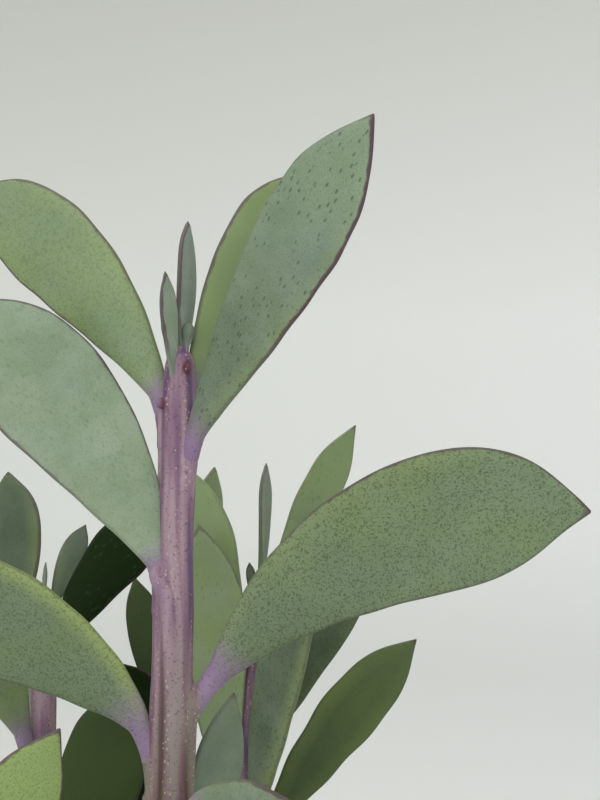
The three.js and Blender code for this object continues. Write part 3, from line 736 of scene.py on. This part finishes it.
stemSkin = waxyStem()
stemBlank = makeBlank("stemBlank", 40, 120)
stalkBlank = makeBlank("stalkBlank", 20, 26)
for shootName, shoot in shoots.items():
    parts = [shapeStem(stemBlank, "core", shoot, 40, 120)]
    for i, row in enumerate(shoot["leaves"]):
        leaf = leafRow(row)
        lip = lips.get(shootName + "_" + str(i + 1), (3, 0, stemMake["ridgeRise"]))
        parts.append(shapeStalkRoot(stalkBlank, "root", shoot, leaf, 20, 26))
        parts.append(shapeRidge(stalkBlank, "ridge", shoot, leaf, lip, 20, 26))
    for spot in restingBuds.get(shootName, ()):
        bpy.ops.mesh.primitive_uv_sphere_add(segments=16, ring_count=10, radius=stemMake["budRadius"] * mm)
        parts.append(bpy.context.object)
        movePoints(parts[-1], pointsOf(parts[-1]) * (1, 1, 1.4) + np.array(spot) * mm)
    stem = joinPieces(parts, "skin_" + shootName)
    bpy.ops.object.mode_set(mode="EDIT")
    bpy.ops.mesh.select_all(action="SELECT")
    bpy.ops.mesh.normals_make_consistent(inside=False)
    bpy.ops.object.mode_set(mode="OBJECT")
    voxel = stemMake["voxel"].get(shootName, stemMake["voxelElse"])
    applyModifier(stem, "REMESH", mode="VOXEL", voxel_size=voxel * mm)
    applyModifier(stem, "SMOOTH", factor=0.5, iterations=stemMake["soften"])
    # how far a point stands out of the stem, for the stalks' purple, and how old the skin is there
    points = pointsOf(stem) / mm
    fromAxis = np.linalg.norm(points[:, :2] - stemMiddle(shoot, points[:, 2])[:, :2], axis=1)
    stalkness = smoothStep((fromAxis - stemRadius(shoot, points[:, 2]) - 0.9) / 1.4)
    addValue(stem, "stalk", stalkness)
    addValue(stem, "age", np.clip((shoot["tip"][2] - points[:, 2]) / 95, 0, 2))
    inBud = np.zeros(len(points))
    for spot in restingBuds.get(shootName, ()):
        inBud = np.maximum(inBud, 2.4 - np.linalg.norm((points - spot) / (0.55, 0.6, 0.75), axis=1))
    addValue(stem, "bud", 0.85 * np.clip(inBud, 0, 1))
    away = points[:, :2] - stemMiddle(shoot, points[:, 2])[:, :2]
    facing = np.degrees(np.arctan2(away[:, 1], away[:, 0]))
    bark = np.zeros(len(points))
    for turn, half, upper in streaks.get(shootName, streaksElse):
        off = (facing - turn + 180) % 360 - 180
        bark = np.maximum(bark, np.exp(-(off / half) ** 2) * smoothStep((upper - points[:, 2]) / 22))
    addValue(stem, "bark", 0.95 * bark)
    pick(stem)
    bpy.ops.object.shade_smooth()
    finishPiece(stem, "stem", stemSkin, "stem_" + shootName)
print("stems skinned")


# Pot: a plain thrown clay flowerpot with a deep rim.
potMake = {"sides": 128, "holes": 4, "holeRadius": 4.5, "holeCircle": 20, "turning": 0.12}
potOutline = [(42, 0), (42.6, 3), (45.2, 19), (48.1, 35), (51.2, 53), (54.2, 70), (57, 87), (57.2, 88.2),
              (62.6, 88.6), (63, 90), (63, 98), (62.6, 104), (62.9, 110.4), (62, 112), (59, 112), (58, 110.4),
              (56.2, 101), (52.5, 83), (48.5, 63), (44.6, 44), (40.7, 25), (37.5, 9.5), (36, 7), (20, 7)]


def turnShape(name, outline, sides):
    # draws the outline up round the axis ring by ring, and closes both ends at their middles
    deselectAll()
    radius, z = outline[0]
    bpy.ops.mesh.primitive_circle_add(vertices=sides, radius=radius * mm, location=(0, 0, z * mm))
    piece = bpy.context.object
    piece.name = name
    bpy.ops.object.transform_apply(location=True, rotation=True, scale=True)
    bpy.ops.object.mode_set(mode="EDIT")
    bpy.ops.mesh.select_all(action="SELECT")
    for nextRadius, nextZ in outline[1:]:
        bpy.ops.mesh.extrude_edges_move(TRANSFORM_OT_translate={"value": (0, 0, (nextZ - z) * mm)})
        size = nextRadius / radius
        bpy.ops.transform.resize(value=(size, size, 1), center_override=(0, 0, nextZ * mm))
        radius, z = nextRadius, nextZ
    bpy.ops.mesh.extrude_edges_move(TRANSFORM_OT_translate={"value": (0, 0, 0)})
    bpy.ops.mesh.merge(type="CENTER")
    bpy.ops.mesh.select_mode(type="EDGE")
    bpy.ops.mesh.select_all(action="DESELECT")
    bpy.ops.object.mode_set(mode="OBJECT")
    for edge in piece.data.edges:
        a, b = (piece.data.vertices[v].co for v in edge.vertices)
        foot = outline[0]
        edge.select = all(abs(p.z - foot[1] * mm) < 1e-6 and math.hypot(p.x, p.y) > (foot[0] - 0.01) * mm
                          for p in (a, b))
    bpy.ops.object.mode_set(mode="EDIT")
    bpy.ops.mesh.extrude_edges_move(TRANSFORM_OT_translate={"value": (0, 0, 0)})
    bpy.ops.mesh.merge(type="CENTER")
    bpy.ops.mesh.select_all(action="SELECT")
    bpy.ops.mesh.normals_make_consistent(inside=False)
    bpy.ops.object.mode_set(mode="OBJECT")
    return piece


# Terracotta: fired porous red clay, dry, matt and sandy, with turning lines and pale salts that came through.
def firedClay():
    material, tree, surface = newMaterial("firedClay", 0.88, 1.5)
    place = addNode(tree, "TexCoord").outputs["Object"]
    tone = addNode(tree, "TexNoise", {"Scale": 1000 / 45, "Detail": 4}, {"Vector": place}).outputs[0]
    clay = addNode(tree, "Mix", {"data_type": "RGBA", 6: linear("#a45f40"), 7: linear("#bd7a58")},
                   {0: tone}).outputs[2]
    sand = addNode(tree, "TexNoise", {"Scale": 1000 / 0.7, "Detail": 3}, {"Vector": place}).outputs[0]
    sandMask = addNode(tree, "MapRange", {"From Min": 0.58, "From Max": 0.75, "To Max": 0.5},
                       {"Value": sand}).outputs[0]
    sandy = addNode(tree, "Mix", {"data_type": "RGBA", 7: linear("#7e4630")},
                    {0: sandMask, 6: clay}).outputs[2]
    # salts gather in cloudy bands, stronger by the rim and the foot
    flatBand = addNode(tree, "Mapping", {"Scale": (1, 1, 2.2)}, {"Vector": place}).outputs[0]
    salt = addNode(tree, "TexNoise", {"Scale": 1000 / 38, "Detail": 6, "Roughness": 0.62},
                   {"Vector": flatBand}).outputs[0]
    height = addNode(tree, "SeparateXYZ", {}, {0: place}).outputs[2]
    low = addNode(tree, "MapRange", {"From Min": 0.03, "From Max": 0.0, "To Max": 0.12},
                  {"Value": height}).outputs[0]
    high = addNode(tree, "MapRange", {"From Min": 0.08, "From Max": 0.112, "To Max": 0.1},
                   {"Value": height}).outputs[0]
    ends = addNode(tree, "Math", {"operation": "ADD"}, {0: low, 1: high}).outputs[0]
    gathered = addNode(tree, "Math", {"operation": "ADD"}, {0: salt, 1: ends}).outputs[0]
    saltMask = addNode(tree, "MapRange", {"From Min": 0.5, "From Max": 0.78, "To Max": 0.6},
                       {"Value": gathered}).outputs[0]
    salted = addNode(tree, "Mix", {"data_type": "RGBA", 7: linear("#d3b9a3")},
                     {0: saltMask, 6: sandy}).outputs[2]
    tree.links.new(salted, surface.inputs["Base Color"])
    lines = addNode(tree, "Mapping", {"Scale": (0.03, 0.03, 1)}, {"Vector": place}).outputs[0]
    turning = addNode(tree, "TexNoise", {"Scale": 1000 / 1.8, "Detail": 3}, {"Vector": lines}).outputs[0]
    relief = addNode(tree, "Math", {"operation": "MULTIPLY_ADD", 1: 0.5}, {0: sand, 2: turning}).outputs[0]
    bump = addNode(tree, "Bump", {"Strength": 0.5, "Distance": 0.25 * mm}, {"Height": relief})
    tree.links.new(bump.outputs[0], surface.inputs["Normal"])
    return material


pot = turnShape("clayPot", potOutline, potMake["sides"])
for i in range(potMake["holes"]):
    turn = 2 * math.pi * (i + 0.5) / potMake["holes"]
    away = potMake["holeCircle"] * mm
    deselectAll()
    bpy.ops.mesh.primitive_cylinder_add(
        vertices=32, radius=potMake["holeRadius"] * mm, depth=0.03,
        location=(away * math.cos(turn), away * math.sin(turn), 0))
    drill = bpy.context.object
    applyModifier(pot, "BOOLEAN", operation="DIFFERENCE", object=drill, solver="EXACT")
    bpy.data.objects.remove(drill)
applyModifier(pot, "BEVEL", width=0.7 * mm, segments=3, limit_method="ANGLE", angle_limit=math.radians(32))
potPoints = pointsOf(pot)
unevenness = ripple(potPoints / mm * [0.1, 0.1, 1], 9, potMake["turning"], 5)
around = np.hypot(potPoints[:, 0], potPoints[:, 1])
outward = potPoints[:, :2] / np.maximum(around, 1e-6)[:, None]
shrink = (unevenness - 0.25) * mm * smoothStep((around - 0.03) / 0.01)
potPoints[:, :2] += outward * shrink[:, None]
movePoints(pot, potPoints)
pick(pot)
bpy.ops.object.shade_smooth_by_angle(angle=math.radians(40))
finishPiece(pot, "pot", firedClay(), "pot")
print("pot turned")


# Soil: a low crumbly mound, topped with loose grit, bark and pumice.
soilMake = {"grains": 1500, "size": (0.7, 2.6), "crumb": 0.45,
            "edgeRadius": 55.4, "edgeHeight": 97.4, "mound": 3}


def soilHeight(r):
    return soilMake["edgeHeight"] + soilMake["mound"] * (1 - (r / soilMake["edgeRadius"]) ** 1.4)


soilOutline = [(37, 9), (52, 84), (55.3, 96.6)] + [(r, soilHeight(r)) for r in (55, 53.5, *range(51, 0, -3))]


# Potting mix: dark peat crumbs, dull and rough, with bark and pumice of a few millimetres on top.
def pottingMix(loose):
    material, tree, surface = newMaterial("pottingGrit" if loose else "pottingPeat", 0.93, 1.5)
    place = addNode(tree, "TexCoord").outputs["Object"]
    crumb = addNode(tree, "TexNoise", {"Scale": 1000 / 1.4, "Detail": 5, "Roughness": 0.7},
                    {"Vector": place}).outputs[0]
    if loose:
        kind = addNode(tree, "Attribute", {"attribute_name": "kind"}).outputs["Fac"]
        sorts = addNode(tree, "ValToRGB", {}, {0: kind})
        ramp = sorts.color_ramp
        ramp.interpolation = "CONSTANT"
        ramp.elements[0].position, ramp.elements[0].color = 0, linear("#3a2c22")
        ramp.elements[1].position, ramp.elements[1].color = 0.38, linear("#5d4330")
        ramp.elements.new(0.62).color = linear("#7d776c")
        ramp.elements.new(0.82).color = linear("#b3aa9a")
        base = sorts.outputs[0]
    else:
        base = addNode(tree, "Mix", {"data_type": "RGBA", 6: linear("#2b211a"), 7: linear("#4f4033")},
                       {0: crumb}).outputs[2]
    # painted shade: darker in the crumbs' hollows, where the bump is low
    shade = addNode(tree, "MapRange", {"From Min": 0.35, "From Max": 0.65, "To Min": 0.45, "To Max": 0},
                    {"Value": crumb})
    colour = addNode(tree, "Mix", {"data_type": "RGBA", "blend_type": "MULTIPLY", 7: linear("#6d6258")},
                     {0: shade.outputs[0], 6: base}).outputs[2]
    tree.links.new(colour, surface.inputs["Base Color"])
    bump = addNode(tree, "Bump", {"Strength": 0.8, "Distance": 0.4 * mm}, {"Height": crumb})
    tree.links.new(bump.outputs[0], surface.inputs["Normal"])
    return material


soil = turnShape("pottingSoil", soilOutline, 128)
soilPoints = pointsOf(soil)
topSide = smoothStep((soilPoints[:, 2] / mm - 96) / 1.2)
soilPoints[:, 2] += mm * topSide * (ripple(soilPoints / mm, 5, soilMake["crumb"], 8)
                                    + ripple(soilPoints / mm, 2.2, 0.25, 9))
movePoints(soil, soilPoints)
pick(soil)
bpy.ops.object.shade_smooth()
finishPiece(soil, "soil", pottingMix(False), "soil")

deselectAll()
bpy.ops.mesh.primitive_cube_add(size=2)
grain = bpy.context.object
bpy.ops.object.mode_set(mode="EDIT")
bpy.ops.mesh.subdivide(number_cuts=1)
bpy.ops.transform.tosphere(value=0.75)
bpy.ops.object.mode_set(mode="OBJECT")
grains = []
while len(grains) < soilMake["grains"]:
    reach = 54.2 * math.sqrt(rng.uniform())
    turn = rng.uniform(0, 2 * math.pi)
    size = soilMake["size"][0] + (soilMake["size"][1] - soilMake["size"][0]) * rng.uniform() ** 2.4
    x, y = reach * math.cos(turn), reach * math.sin(turn)
    clear = all(math.hypot(x - shoot["foot"][0], y - shoot["foot"][1]) > shoot["radius"][0] + size * 0.7
                for shoot in shoots.values())
    if not clear or reach + size > 55:
        continue
    one = copyOf(grain, "grain")
    shape = pointsOf(one) * (1 + rng.uniform(-0.22, 0.22, (len(one.data.vertices), 1)))
    shape *= size * np.array([1, rng.uniform(0.6, 1), rng.uniform(0.45, 0.8)])
    spin = np.linalg.qr(rng.normal(size=(3, 3)) * [1, 1, 0.4] + np.eye(3))[0]
    spin *= np.sign(np.linalg.det(spin))
    movePoints(one, (shape @ spin.T + [x, y, soilHeight(reach) + 0.3 * size]) * mm)
    addValue(one, "kind", np.full(len(shape), rng.uniform()))
    grains.append(one)
grit = joinPieces(grains, "looseGrit")
bpy.data.objects.remove(grain)
pick(grit)
bpy.ops.object.shade_smooth_by_angle(angle=math.radians(50))
finishPiece(grit, "soil", pottingMix(True))
print("soil filled")

for blank in (leafBlank, youngBlank, stemBlank, stalkBlank):
    bpy.data.objects.remove(blank)


# Plain pale studio: a round floor that curves up into its wall, under soft light from above.
studio = {"floor": 1.25, "curve": 0.75, "room": 0.62,
          "lamps": {"overhead": ((-0.25, -0.35, 1.6), 1.6, 14), "front": ((-0.7, -1.3, 0.9), 1.0, 4)}}
deselectAll()
bpy.ops.mesh.primitive_circle_add(vertices=96, radius=studio["floor"], fill_type="NGON")
backdrop = bpy.context.object
backdrop.name = "backdrop"
bpy.ops.object.mode_set(mode="EDIT")
bpy.ops.mesh.select_all(action="SELECT")
bpy.ops.mesh.select_mode(type="EDGE")
bpy.ops.mesh.region_to_loop()
radius, z = studio["floor"], 0
for i in range(1, 15):
    turn = math.radians(90 * min(i, 12) / 12)
    nextRadius = studio["floor"] + studio["curve"] * math.sin(turn)
    nextZ = studio["curve"] * (1 - math.cos(turn)) + 0.55 * max(0, i - 12)
    bpy.ops.mesh.extrude_edges_move(TRANSFORM_OT_translate={"value": (0, 0, nextZ - z)})
    size = nextRadius / radius
    bpy.ops.transform.resize(value=(size, size, 1), center_override=(0, 0, nextZ))
    radius, z = nextRadius, nextZ
bpy.ops.mesh.select_all(action="SELECT")
bpy.ops.mesh.normals_make_consistent(inside=True)
bpy.ops.object.mode_set(mode="OBJECT")
bpy.ops.object.shade_smooth()
# Painted board: matt white, with painted shade that makes it a little greyer higher up and towards the left.
board, boardTree, boardSurface = newMaterial("paintedBoard", 0.9, 1.45)
boardPlace = addNode(boardTree, "TexCoord").outputs["Object"]
boardAxes = addNode(boardTree, "SeparateXYZ", {}, {0: boardPlace}).outputs
# tones by height, with painted shade greyer higher up
boardTones = addNode(boardTree, "ValToRGB", {}, {0: boardAxes[2]})
tones = boardTones.color_ramp
tones.elements[0].position, tones.elements[0].color = 0, linear("#eeefed")
tones.elements[1].position, tones.elements[1].color = 0.9, linear("#e4e4e0")
tones.elements.new(0.12).color = linear("#fafbf9")
tones.elements.new(0.4).color = linear("#fcfdfb")
# painted shade: greyer towards the left
toLeft = addNode(boardTree, "MapRange", {"From Min": 0.45, "From Max": -0.5},
                 {"Value": boardAxes[0]}).outputs[0]
boardColour = addNode(boardTree, "Mix", {"data_type": "RGBA", "blend_type": "MULTIPLY", 7: linear("#f4f5f2")},
                      {0: toLeft, 6: boardTones.outputs[0]}).outputs[2]
boardTree.links.new(boardColour, boardSurface.inputs["Base Color"])
backdrop.data.materials.append(board)

world = bpy.data.worlds.new("softRoom")
bpy.context.scene.world = world
world.use_nodes = True
world.node_tree.nodes["Background"].inputs["Color"].default_value = linear("#f4f6f8")
world.node_tree.nodes["Background"].inputs["Strength"].default_value = studio["room"]
for name, (place, size, power) in studio["lamps"].items():
    deselectAll()
    bpy.ops.object.light_add(type="AREA", location=place)
    lamp = bpy.context.object
    lamp.name = name
    lamp.data.size = size
    lamp.data.energy = power
    lamp.rotation_euler = (Vector((0, 0, 0.22)) - Vector(place)).to_track_quat("-Z", "Y").to_euler()
print("studio lit")

bpy.context.view_layer.update()
